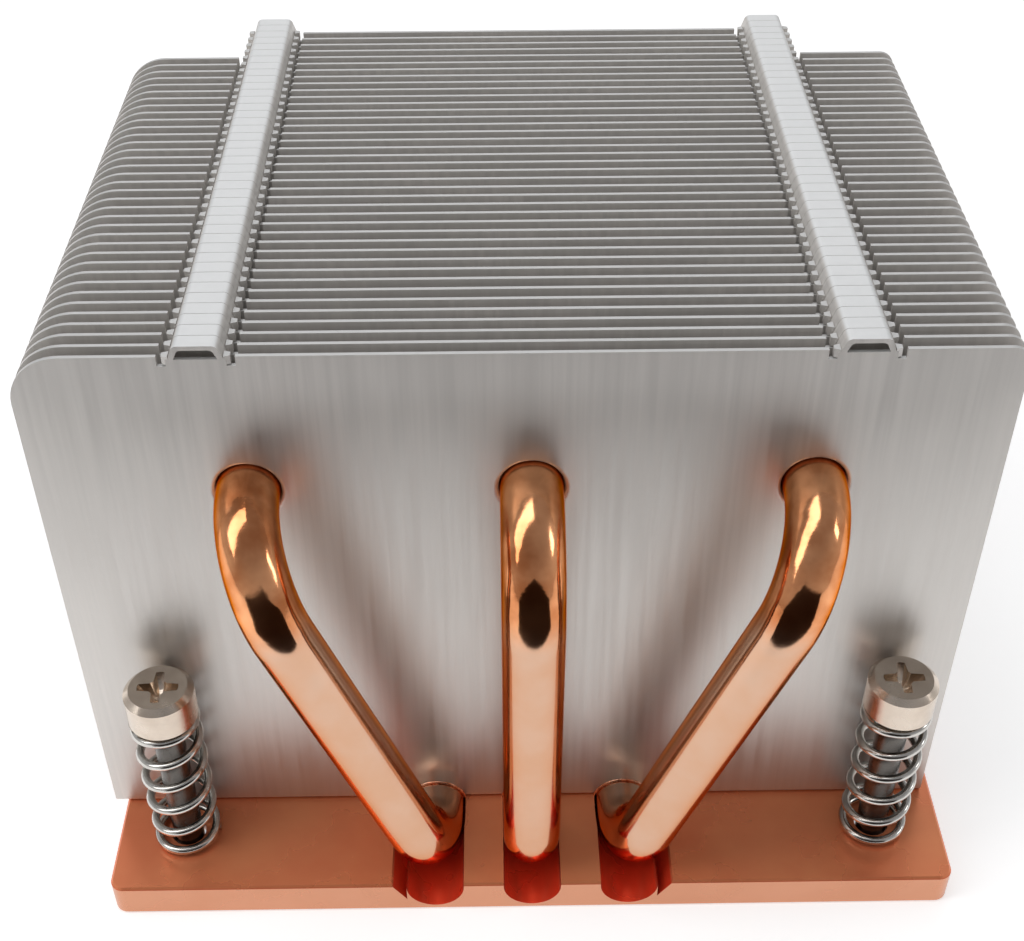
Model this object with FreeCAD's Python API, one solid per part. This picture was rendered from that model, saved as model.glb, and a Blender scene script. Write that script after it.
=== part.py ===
import FreeCAD, Part
import math
import os

from FreeCAD import Vector

# Passive 2U server cooler: copper base, three bent heat pipes, a zipper stack
# of thin fins across them, and four captive spring screws at the corners.
# Frame: origin on the underside of the base, at the middle of the screw
# pattern. +Z is up, -Y is the front where the pipes rise, +X is to the right.
# All sizes are in millimetres.

# ---- base plate -----------------------------------------------------------
BASE_WIDTH = 90.0            # along X
BASE_DEPTH = 90.0            # along Y
BASE_THICK = 4.2
BASE_CORNER_R = 1.5
BASE_EDGE_BREAK = 0.25
GROOVE_FLOOR = 0.7           # copper left under each pipe
GROOVE_GAP = 0.05            # solder gap round a pipe in its groove
BEND_RELIEF = 0.15           # extra room where a pipe leaves its groove
MOUTH_WIDTH = 1.6            # bevel along the outer side of an outer groove,
MOUTH_DEPTH = 2.4            # under the pipe that leans over it
MOUTH_LENGTH = 6.5

# ---- screw pattern --------------------------------------------------------
SCREW_SPACING_X = 75.0
SCREW_SPACING_Y = 75.0
SPRING_SEAT = 1.3            # copper left over each underside pocket
POCKET_R = 3.75

# ---- heat pipes -----------------------------------------------------------
PIPE_R = 3.0
PIPE_SPACING_LOW = 10.35     # side by side in the base
PIPE_SPACING_HIGH = 26.4     # spread out in the fins
PIPE_HIGH_Z = 49.6           # height of the runs through the fins
PIPE_FOOT_BEND_R = 6.5       # centre-line radius of the bend out of the base
PIPE_TOP_BEND_R = 9.5        # centre-line radius of the bend into the fins
PIPE_RAKE = 3.0              # degrees that the risers lean out at the top
PIPE_FACE_GAP = 0.2          # straight length before the first fin
PIPE_TIP_LENGTH = 2.4        # swaged cone at each sealed end
PIPE_TIP_R = 1.3
PIPE_NUB_LENGTH = 0.8
PIPE_TAIL = 1.0              # full-size pipe behind the last fin
PIPE_END_SETBACK = 3.0       # lower end inside the rear edge of the base

# ---- fin stack ------------------------------------------------------------
FIN_COUNT = 40
SHORT_FIN_COUNT = 4          # narrow fins at the rear, clear of the screws
FIN_PITCH = 1.7
FIN_THICK = 0.4
FIN_TOP_Z = 65.0
FIN_WIDTH = 90.0
FIN_SHIFT_X = -1.2           # the left wing is the longer one
FIN_CORNER_LEFT_R = 5.0
FIN_CORNER_RIGHT_R = 1.8
FIN_BEND_R = 0.3             # inside radius of the folded foot
FIN_GAP = 0.05               # gap between a fold and the next fin
FIN_PIPE_GAP = 0.05          # fit of a collar on its pipe
FOOT_PIPE_GAP = 0.25         # room where the feet straddle the lower pipes
COLLAR_WALL = 0.3
COLLAR_FLARE = 0.5           # radius of the rolled entry of a collar

# ---- zipper strips along the top of the stack -----------------------------
STRIP_SPACING = 58.6
STRIP_FOOT_WIDTH = 5.3
STRIP_CROWN_WIDTH = 3.9
STRIP_RISE = 1.1             # above the fin tops
STRIP_WALL = 0.45
STRIP_WINDOW_DROP = 0.3      # fin edge lowered under the arch
STRIP_LEG_DEPTH = 0.9        # legs reach this far below the fin tops
STRIP_SHOULDER_R = 0.7
STRIP_NOTCH_WIDTH = 0.8      # relief cut on each side of a tab
STRIP_NOTCH_DEPTH = 1.0
STRIP_TOOTH = 0.35           # serration of the strip's edges
STRIP_TOOTH_LENGTH = 0.9
SHORT_FIN_OVERHANG = 3.2     # short fins reach past each strip's centre line
SHORT_FIN_CORNER_R = 0.5

# ---- captive screws -------------------------------------------------------
HEAD_R = 3.55
HEAD_HEIGHT = 4.1
HEAD_TOP_Z = 27.5
HEAD_CHAMFER = 0.6
RECESS_SPAN = 4.2
RECESS_WIDTH = 1.1
RECESS_DEPTH = 1.7
RECESS_CONE_R = 1.25
SHANK_R = 1.6
SHANK_HOLE_GAP = 0.25        # free play of the shank in the base
THREAD_R = 1.5
CLIP_GROOVE_R = 1.15
TIP_CHAMFER = 0.4
TIP_CLEAR = 0.15             # screw tip above the underside of the base

# ---- springs and clips ----------------------------------------------------
SPRING_R = 3.15              # mean coil radius
SPRING_WIRE_R = 0.45
SPRING_TURNS = 6.6
SPRING_GAP = 0.05            # between the coil and its seats
CLIP_R = 3.1
CLIP_RING_R = 2.2            # inside of the ring between the lugs
CLIP_THICK = 0.6
CLIP_LUG_WIDTH = 1.3
CLIP_MOUTH_WIDTH = 2.4
CLIP_GAP = 0.05              # running clearance of a clip in its groove

TOUCH = 1e-4                 # points closer than this are one point
OVERCUT = 1.0                # cutters run this far past what they cut

# ---- worked-out sizes -----------------------------------------------------
FULL_FIN_COUNT = FIN_COUNT - SHORT_FIN_COUNT
STACK_DEPTH = (FIN_COUNT - 1) * FIN_PITCH + FIN_THICK
STACK_FRONT_Y = -STACK_DEPTH / 2
STACK_REAR_Y = STACK_FRONT_Y + STACK_DEPTH
FOLD_LENGTH = FIN_PITCH - FIN_GAP
GROOVE_R = PIPE_R + GROOVE_GAP
PIPE_LOW_Z = GROOVE_FLOOR + GROOVE_R
RISER_TOP_SETBACK = PIPE_TOP_BEND_R * math.tan(math.radians(90 + PIPE_RAKE) / 2)
RISER_TOP_Y = STACK_FRONT_Y - PIPE_FACE_GAP - RISER_TOP_SETBACK
RISER_FOOT_Y = RISER_TOP_Y + (PIPE_HIGH_Z - PIPE_LOW_Z) * math.tan(math.radians(PIPE_RAKE))
PIPE_LOW_END_Y = BASE_DEPTH / 2 - PIPE_END_SETBACK - PIPE_NUB_LENGTH - PIPE_TIP_LENGTH
PIPE_HIGH_END_Y = STACK_REAR_Y + FOLD_LENGTH + PIPE_TAIL
COLLAR_BORE_R = PIPE_R + FIN_PIPE_GAP
POCKET_DEPTH = BASE_THICK - SPRING_SEAT
SCREW_HOLE_R = SHANK_R + SHANK_HOLE_GAP
HEAD_BOTTOM_Z = HEAD_TOP_Z - HEAD_HEIGHT
CLIP_TOP_Z = POCKET_DEPTH - CLIP_GAP
CLIP_BOTTOM_Z = CLIP_TOP_Z - CLIP_THICK
PIPE_SIDES = {"left": -1, "middle": 0, "right": 1}
STRIP_CENTRES = (-STRIP_SPACING / 2, STRIP_SPACING / 2)


def cylinder(radius, start, end):
    """Round bar between two points."""
    run = end - start
    return Part.makeCylinder(radius, run.Length, start, run)


def box(low, high):
    """Box between two opposite corners."""
    size = high - low
    return Part.makeBox(size.x, size.y, size.z, low)


def prism(points, depth):
    """Solid made by pushing a flat outline along a depth vector."""
    outline = Part.makePolygon(points + [points[0]])
    return Part.Face(outline).extrude(depth)


def edges_along(shape, direction, wanted):
    """Straight edges of a shape that run along a direction and pass a test."""
    found = []
    for edge in shape.Edges:
        if len(edge.Vertexes) != 2:
            continue
        run = edge.Vertexes[1].Point - edge.Vertexes[0].Point
        straight = abs(run.Length - edge.Length) < TOUCH
        if straight and run.cross(direction).Length < TOUCH and wanted(edge.CenterOfMass):
            found.append(edge)
    return found


def bent_bar(points, bend_radii, radius):
    """Round bar along straight runs that are joined by tangent arcs."""
    parts = []
    start = points[0]
    corners = zip(points, points[1:], points[2:], bend_radii)
    for before, corner, after, bend_r in corners:
        inward = (corner - before).normalize()
        outward = (after - corner).normalize()
        turn = inward.getAngle(outward)
        setback = bend_r * math.tan(turn / 2)
        arc_start = corner - inward * setback
        if start.distanceToPoint(arc_start) > TOUCH:
            parts.append(cylinder(radius, start, arc_start))
        hinge = inward.cross(outward).normalize()
        centre = arc_start + hinge.cross(inward) * bend_r
        disc = Part.Face(Part.Wire(Part.makeCircle(radius, arc_start, inward)))
        parts.append(disc.revolve(centre, hinge, math.degrees(turn)))
        start = corner + outward * setback
    parts.append(cylinder(radius, start, points[-1]))
    return parts[0].multiFuse(parts[1:]).removeSplitter()


# ---- heat pipes -----------------------------------------------------------
def pipe_route(side):
    """Corner points of one pipe, from its lower to its upper end."""
    low_x = side * PIPE_SPACING_LOW
    high_x = side * PIPE_SPACING_HIGH
    return [
        Vector(low_x, PIPE_LOW_END_Y, PIPE_LOW_Z),
        Vector(low_x, RISER_FOOT_Y, PIPE_LOW_Z),
        Vector(high_x, RISER_TOP_Y, PIPE_HIGH_Z),
        Vector(high_x, PIPE_HIGH_END_Y, PIPE_HIGH_Z),
    ]


def pipe_tip(end):
    """Swaged and sealed end that points to the rear."""
    rearward = Vector(0, 1, 0)
    cone = Part.makeCone(PIPE_R, PIPE_TIP_R, PIPE_TIP_LENGTH, end, rearward)
    nub_start = end + rearward * PIPE_TIP_LENGTH
    nub = Part.makeCylinder(PIPE_TIP_R, PIPE_NUB_LENGTH, nub_start, rearward)
    return cone.fuse(nub)


def heat_pipe(side):
    """One C-shaped pipe with both ends sealed."""
    points = pipe_route(side)
    bar = bent_bar(points, [PIPE_FOOT_BEND_R, PIPE_TOP_BEND_R], PIPE_R)
    return bar.multiFuse([pipe_tip(points[0]), pipe_tip(points[-1])]).removeSplitter()


# ---- base plate -----------------------------------------------------------
def groove(side):
    """Cutter for one full-length groove with a round floor."""
    x = side * PIPE_SPACING_LOW
    front = Vector(x, -BASE_DEPTH / 2 - OVERCUT, PIPE_LOW_Z)
    rear = Vector(x, BASE_DEPTH / 2 + OVERCUT, PIPE_LOW_Z)
    walls = box(
        Vector(x - GROOVE_R, front.y, PIPE_LOW_Z),
        Vector(x + GROOVE_R, rear.y, BASE_THICK + OVERCUT),
    )
    return cylinder(GROOVE_R, front, rear).fuse(walls)


def bend_relief(side):
    """Cutter that lets a leaning pipe leave its groove without touching it."""
    return bent_bar(pipe_route(side)[:3], [PIPE_FOOT_BEND_R], GROOVE_R + BEND_RELIEF)


def groove_mouth(side):
    """Cutter for the bevel on the outer side of an outer groove, at the front."""
    wall_x = side * (PIPE_SPACING_LOW + GROOVE_R)
    front_y = -BASE_DEPTH / 2 - OVERCUT
    slope = MOUTH_DEPTH / MOUTH_WIDTH
    return prism([
        Vector(wall_x, front_y, BASE_THICK - MOUTH_DEPTH),
        Vector(wall_x, front_y, BASE_THICK + OVERCUT),
        Vector(wall_x + side * (MOUTH_WIDTH + OVERCUT / slope), front_y, BASE_THICK + OVERCUT),
    ], Vector(0, MOUTH_LENGTH + OVERCUT, 0))


def screw_places():
    """Name and centre of each corner screw, on the underside of the base."""
    for row, y_sign in (("front", -1), ("rear", 1)):
        for column, x_sign in (("left", -1), ("right", 1)):
            x = x_sign * SCREW_SPACING_X / 2
            y = y_sign * SCREW_SPACING_Y / 2
            yield row + "_" + column, Vector(x, y, 0)


def screw_bore(place):
    """Cutter for a screw's clearance hole and the clip's pocket under it."""
    below = place - Vector(0, 0, OVERCUT)
    hole = Part.makeCylinder(SCREW_HOLE_R, BASE_THICK + 2 * OVERCUT, below)
    pocket = Part.makeCylinder(POCKET_R, POCKET_DEPTH + OVERCUT, below)
    return hole.fuse(pocket)


def base_plate():
    """Copper plate with pipe grooves, screw holes and softened edges."""
    corner = Vector(BASE_WIDTH / 2, BASE_DEPTH / 2, 0)
    plate = box(-corner, corner + Vector(0, 0, BASE_THICK))
    plate = plate.makeFillet(BASE_CORNER_R, edges_along(plate, Vector(0, 0, 1), lambda c: True))
    rims = [face for face in plate.Faces if abs(face.normalAt(0, 0).z) > 0.9]
    rim_edges = [edge for face in rims for edge in face.Edges]
    plate = plate.makeChamfer(BASE_EDGE_BREAK, rim_edges)
    cutters = [groove(side) for side in PIPE_SIDES.values()]
    for side in (-1, 1):
        cutters += [bend_relief(side), groove_mouth(side)]
    cutters += [screw_bore(place) for _, place in screw_places()]
    return plate.cut(cutters)


# ---- fins -----------------------------------------------------------------
def folded_foot(left_x, right_x):
    """Foot of a fin: a quarter bend and a flat flange that lies on the base."""
    sheet_foot_z = BASE_THICK + FIN_BEND_R + FIN_THICK
    bend_end_y = FIN_THICK + FIN_BEND_R
    cut_edge = prism([
        Vector(left_x, 0, sheet_foot_z),
        Vector(left_x, FIN_THICK, sheet_foot_z),
        Vector(right_x, FIN_THICK, sheet_foot_z),
        Vector(right_x, 0, sheet_foot_z),
    ], Vector(0, 0, 1)).Faces
    end_face = min(cut_edge, key=lambda face: face.CenterOfMass.z)
    pivot = Vector(left_x, bend_end_y, sheet_foot_z)
    bend = end_face.revolve(pivot, Vector(1, 0, 0), 90)
    flange = box(
        Vector(left_x, bend_end_y, BASE_THICK),
        Vector(right_x, FOLD_LENGTH, BASE_THICK + FIN_THICK),
    )
    return bend.fuse(flange)


def fin_sheet(left_x, right_x, left_r, right_r):
    """Upright sheet of one fin with its rounded top corners and folded foot."""
    sheet_foot_z = BASE_THICK + FIN_BEND_R + FIN_THICK
    sheet = box(Vector(left_x, 0, sheet_foot_z), Vector(right_x, FIN_THICK, FIN_TOP_Z))
    for x, radius in ((left_x, left_r), (right_x, right_r)):
        corner = Vector(x, FIN_THICK / 2, FIN_TOP_Z)
        top_edge = edges_along(
            sheet, Vector(0, 1, 0), lambda centre: centre.distanceToPoint(corner) < TOUCH
        )
        sheet = sheet.makeFillet(radius, top_edge)
    return sheet.fuse(folded_foot(left_x, right_x)).removeSplitter()


def arch(half_foot, half_crown, foot_z, crown_z, shoulder_r):
    """Solid arch section with rounded shoulders, one fold long, centred on X = 0."""
    solid = prism([
        Vector(-half_foot, 0, foot_z),
        Vector(-half_crown, 0, crown_z),
        Vector(half_crown, 0, crown_z),
        Vector(half_foot, 0, foot_z),
    ], Vector(0, FOLD_LENGTH, 0))
    shoulders = edges_along(
        solid, Vector(0, 1, 0), lambda centre: abs(centre.z - crown_z) < TOUCH
    )
    return solid.makeFillet(shoulder_r, shoulders)


def zipper_tab():
    """Arched tab that reaches the next fin, with a tooth on each leg."""
    leg_z = FIN_TOP_Z - STRIP_LEG_DEPTH
    crown_z = FIN_TOP_Z + STRIP_RISE
    half_foot = STRIP_FOOT_WIDTH / 2
    half_crown = STRIP_CROWN_WIDTH / 2
    outer = arch(half_foot, half_crown, leg_z, crown_z, STRIP_SHOULDER_R)
    inner = arch(
        half_foot - STRIP_WALL, half_crown - STRIP_WALL, leg_z,
        crown_z - STRIP_WALL, STRIP_SHOULDER_R - STRIP_WALL / 2,
    )
    tab = outer.cut(inner)
    tooth_root = half_foot - STRIP_WALL / 2
    tooth_tip = half_foot + STRIP_TOOTH
    taper = STRIP_TOOTH / 2
    teeth = []
    for side in (-1, 1):
        teeth.append(prism([
            Vector(side * tooth_root, 0, leg_z),
            Vector(side * tooth_tip, taper, leg_z),
            Vector(side * tooth_tip, STRIP_TOOTH_LENGTH - taper, leg_z),
            Vector(side * tooth_root, STRIP_TOOTH_LENGTH, leg_z),
        ], Vector(0, 0, STRIP_LEG_DEPTH)))
    return tab.multiFuse(teeth)


def zipper_relief():
    """Cutter for the lowered edge under an arch and the notch on each side of it."""
    half_foot = STRIP_FOOT_WIDTH / 2
    half_notch = half_foot + STRIP_NOTCH_WIDTH
    front_y = -OVERCUT
    rear_y = FIN_THICK + OVERCUT
    above = FIN_TOP_Z + OVERCUT
    window = box(
        Vector(-half_notch, front_y, FIN_TOP_Z - STRIP_WINDOW_DROP),
        Vector(half_notch, rear_y, above),
    )
    notches = [
        box(
            Vector(low_x, front_y, FIN_TOP_Z - STRIP_NOTCH_DEPTH),
            Vector(low_x + STRIP_NOTCH_WIDTH, rear_y, above),
        )
        for low_x in (-half_notch, half_foot)
    ]
    return window.multiFuse(notches)


def collar_wall(centre):
    """Drawn collar that stands out behind a fin round a pipe hole."""
    return Part.makeCylinder(COLLAR_BORE_R + COLLAR_WALL, FOLD_LENGTH, centre, Vector(0, 1, 0))


def collar_bore(centre):
    """Cutter for a pipe hole with a rolled entry at the front."""
    mouth_r = COLLAR_BORE_R + COLLAR_FLARE
    inset = COLLAR_FLARE * math.cos(math.pi / 4)
    axis_front = Vector(0, 0, 0)
    axis_rear = Vector(0, FIN_PITCH, 0)
    rim_front = Vector(mouth_r, 0, 0)
    rim_middle = Vector(mouth_r - inset, COLLAR_FLARE - inset, 0)
    rim_rear = Vector(COLLAR_BORE_R, COLLAR_FLARE, 0)
    bore_rear = Vector(COLLAR_BORE_R, FIN_PITCH, 0)
    profile = Part.Wire([
        Part.LineSegment(axis_front, rim_front).toShape(),
        Part.Arc(rim_front, rim_middle, rim_rear).toShape(),
        Part.LineSegment(rim_rear, bore_rear).toShape(),
        Part.LineSegment(bore_rear, axis_rear).toShape(),
        Part.LineSegment(axis_rear, axis_front).toShape(),
    ])
    cutter = Part.Face(profile).revolve(axis_front, Vector(0, 1, 0), 360)
    return cutter.translated(centre)


def foot_arch(side):
    """Cutter that lets a fin's foot straddle one lower pipe."""
    x = side * PIPE_SPACING_LOW
    radius = PIPE_R + FOOT_PIPE_GAP
    axis_front = Vector(x, -OVERCUT, PIPE_LOW_Z)
    axis_rear = Vector(x, FIN_PITCH, PIPE_LOW_Z)
    return cylinder(radius, axis_front, axis_rear)


def fin(left_x, right_x, left_r, right_r):
    """One finished fin with its front face on Y = 0."""
    sheet = fin_sheet(left_x, right_x, left_r, right_r)
    hole_centres = [
        Vector(side * PIPE_SPACING_HIGH, 0, PIPE_HIGH_Z) for side in PIPE_SIDES.values()
    ]
    reliefs = []
    tabs = []
    for x in STRIP_CENTRES:
        offset = Vector(x, 0, 0)
        reliefs.append(zipper_relief().translated(offset))
        tabs.append(zipper_tab().translated(offset))
    sheet = sheet.cut(reliefs)
    sheet = sheet.multiFuse(tabs + [collar_wall(centre) for centre in hole_centres])
    cutters = [collar_bore(centre) for centre in hole_centres]
    cutters += [foot_arch(side) for side in PIPE_SIDES.values()]
    return sheet.cut(cutters).removeSplitter()


def full_fin():
    """Fin of the main stack, across the whole width."""
    left_x = FIN_SHIFT_X - FIN_WIDTH / 2
    right_x = FIN_SHIFT_X + FIN_WIDTH / 2
    return fin(left_x, right_x, FIN_CORNER_LEFT_R, FIN_CORNER_RIGHT_R)


def short_fin():
    """Narrow fin at the rear, between the two screws there."""
    half_width = STRIP_SPACING / 2 + SHORT_FIN_OVERHANG
    return fin(-half_width, half_width, SHORT_FIN_CORNER_R, SHORT_FIN_CORNER_R)


# ---- captive screws -------------------------------------------------------
def turned(profile):
    """Solid of revolution about Z from (radius, height) points."""
    points = [Vector(r, 0, z) for r, z in profile]
    outline = Part.makePolygon(points + [points[0]])
    return Part.Face(outline).revolve(Vector(0, 0, 0), Vector(0, 0, 1), 360)


def cross_recess():
    """Cutter for the tapered cross in a screw head."""
    floor_z = HEAD_TOP_Z - RECESS_DEPTH
    wing = prism([
        Vector(-RECESS_SPAN / 2, -RECESS_WIDTH / 2, HEAD_TOP_Z),
        Vector(RECESS_SPAN / 2, -RECESS_WIDTH / 2, HEAD_TOP_Z),
        Vector(RECESS_WIDTH / 2, -RECESS_WIDTH / 2, floor_z),
        Vector(-RECESS_WIDTH / 2, -RECESS_WIDTH / 2, floor_z),
    ], Vector(0, RECESS_WIDTH, 0))
    crossing = wing.copy()
    crossing.rotate(Vector(0, 0, 0), Vector(0, 0, 1), 90)
    cone = Part.makeCone(RECESS_WIDTH / 2, RECESS_CONE_R, RECESS_DEPTH, Vector(0, 0, floor_z))
    return wing.multiFuse([crossing, cone])


def screw():
    """Captive screw on the Z axis: cheese head, plain shank, clip groove, tip."""
    groove_low = CLIP_BOTTOM_Z - CLIP_GAP
    groove_high = CLIP_TOP_Z + CLIP_GAP
    body = turned([
        (0, TIP_CLEAR),
        (THREAD_R - TIP_CHAMFER, TIP_CLEAR),
        (THREAD_R, TIP_CLEAR + TIP_CHAMFER),
        (THREAD_R, groove_low),
        (CLIP_GROOVE_R, groove_low),
        (CLIP_GROOVE_R, groove_high),
        (SHANK_R, groove_high),
        (SHANK_R, HEAD_BOTTOM_Z),
        (HEAD_R, HEAD_BOTTOM_Z),
        (HEAD_R, HEAD_TOP_Z - HEAD_CHAMFER),
        (HEAD_R - HEAD_CHAMFER, HEAD_TOP_Z),
        (0, HEAD_TOP_Z),
    ])
    return body.cut(cross_recess())


def spring():
    """Coil spring on the Z axis with ground ends, seated on the base."""
    low_z = BASE_THICK + SPRING_GAP
    high_z = HEAD_BOTTOM_Z - SPRING_GAP
    height = high_z - low_z
    lead = height / SPRING_TURNS
    helix = Part.makeHelix(lead, height, SPRING_R)
    helix.translate(Vector(0, 0, low_z))
    wire_start = Vector(SPRING_R, 0, low_z)
    section = Part.Wire(Part.makeCircle(SPRING_WIRE_R, wire_start, Vector(0, 1, 0)))
    coil = Part.Wire(helix.Edges).makePipeShell([section], True, True)
    reach = SPRING_R + 2 * SPRING_WIRE_R
    seats = box(Vector(-reach, -reach, low_z), Vector(reach, reach, high_z))
    return coil.common(seats)


def retaining_clip():
    """E-shaped ring that snaps into the screw's groove under the base."""
    base_point = Vector(0, 0, CLIP_BOTTOM_Z)
    ring = Part.makeCylinder(CLIP_R, CLIP_THICK, base_point)
    ring = ring.cut(Part.makeCylinder(CLIP_RING_R, CLIP_THICK, base_point))
    lug_reach = (CLIP_RING_R + CLIP_R) / 2
    lugs = []
    for angle in (0, 90, 180):
        lug = box(
            Vector(0, -CLIP_LUG_WIDTH / 2, CLIP_BOTTOM_Z),
            Vector(lug_reach, CLIP_LUG_WIDTH / 2, CLIP_TOP_Z),
        )
        lug.rotate(Vector(0, 0, 0), Vector(0, 0, 1), angle)
        lugs.append(lug)
    mouth = box(
        Vector(-CLIP_MOUTH_WIDTH / 2, -CLIP_R - OVERCUT, CLIP_BOTTOM_Z),
        Vector(CLIP_MOUTH_WIDTH / 2, -CLIP_LUG_WIDTH / 2, CLIP_TOP_Z),
    )
    bore = Part.makeCylinder(CLIP_GROOVE_R + CLIP_GAP, CLIP_THICK, base_point)
    return ring.multiFuse(lugs).cut([mouth, bore]).removeSplitter()


# ---- output ---------------------------------------------------------------
def write_part(name, shape):
    """Write one sub-part as its own STEP file."""
    solids = shape.Solids
    if len(solids) != 1 or not shape.isValid():
        raise ValueError("%s is not one valid solid" % name)
    solids[0].exportStep("parts/%s.step" % name)


def build():
    """Make every sub-part and write it in place."""
    os.makedirs("parts", exist_ok=True)
    write_part("base_plate", base_plate())
    for name, side in PIPE_SIDES.items():
        write_part("heat_pipe_" + name, heat_pipe(side))
    patterns = [full_fin()] * FULL_FIN_COUNT + [short_fin()] * SHORT_FIN_COUNT
    for index, pattern in enumerate(patterns):
        place = Vector(0, STACK_FRONT_Y + index * FIN_PITCH, 0)
        write_part("fin_%02d" % (index + 1), pattern.translated(place))
    hardware = {"screw": screw(), "spring": spring(), "clip": retaining_clip()}
    for corner, place in screw_places():
        for kind, shape in hardware.items():
            write_part("%s_%s" % (kind, corner), shape.translated(place))


build()
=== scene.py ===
"""Looks of a passive server cooler: metal finishes, pipes, sprung screws and a small studio."""

import logging
import math
from dataclasses import dataclass, field
from enum import Enum

import bmesh
import bpy
from mathutils import Matrix, Vector


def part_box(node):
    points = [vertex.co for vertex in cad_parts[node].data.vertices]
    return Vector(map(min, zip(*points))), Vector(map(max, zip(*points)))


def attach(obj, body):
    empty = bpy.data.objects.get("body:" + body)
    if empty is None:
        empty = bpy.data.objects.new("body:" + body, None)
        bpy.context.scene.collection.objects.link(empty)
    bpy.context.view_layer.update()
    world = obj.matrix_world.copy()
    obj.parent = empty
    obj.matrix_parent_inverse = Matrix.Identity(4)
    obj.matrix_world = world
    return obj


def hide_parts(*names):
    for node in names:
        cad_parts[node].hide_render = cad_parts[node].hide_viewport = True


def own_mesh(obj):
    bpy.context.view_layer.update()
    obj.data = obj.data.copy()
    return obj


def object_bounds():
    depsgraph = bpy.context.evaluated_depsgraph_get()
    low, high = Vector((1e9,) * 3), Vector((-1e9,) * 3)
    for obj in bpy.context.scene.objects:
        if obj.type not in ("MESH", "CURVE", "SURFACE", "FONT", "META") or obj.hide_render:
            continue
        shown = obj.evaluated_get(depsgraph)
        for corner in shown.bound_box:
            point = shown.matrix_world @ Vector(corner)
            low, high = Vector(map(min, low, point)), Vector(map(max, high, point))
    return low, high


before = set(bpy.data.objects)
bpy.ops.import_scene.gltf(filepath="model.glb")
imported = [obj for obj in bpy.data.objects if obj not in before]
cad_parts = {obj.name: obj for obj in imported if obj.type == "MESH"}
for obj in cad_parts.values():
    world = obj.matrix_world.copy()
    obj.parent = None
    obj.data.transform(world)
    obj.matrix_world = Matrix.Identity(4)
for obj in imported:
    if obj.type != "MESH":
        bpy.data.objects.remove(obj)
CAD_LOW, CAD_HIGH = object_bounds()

LOG = logging.getLogger("cooler")
MM = 0.001
FULL_TURN = 2 * math.pi
LATHE_REACH = "lathe_reach"
PATTERN_SPAN = (0.25, 0.75)
WAVE_UNITS_PER_SCALE = 20.0
MERGE_DISTANCE = 0.0005 * MM
CUT_DISTANCE = 1e-7
HEIGHT_MATCH = 0.01 * MM

Colour = tuple[float, float, float]


class Corner(Enum):
    """The four screw corners, named as in the frame."""

    FRONT_LEFT = "front_left"
    FRONT_RIGHT = "front_right"
    REAR_LEFT = "rear_left"
    REAR_RIGHT = "rear_right"


class PipeSide(Enum):
    """The three heat pipes and the side of the middle that each stands on."""

    LEFT = -1
    MIDDLE = 0
    RIGHT = 1


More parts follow.
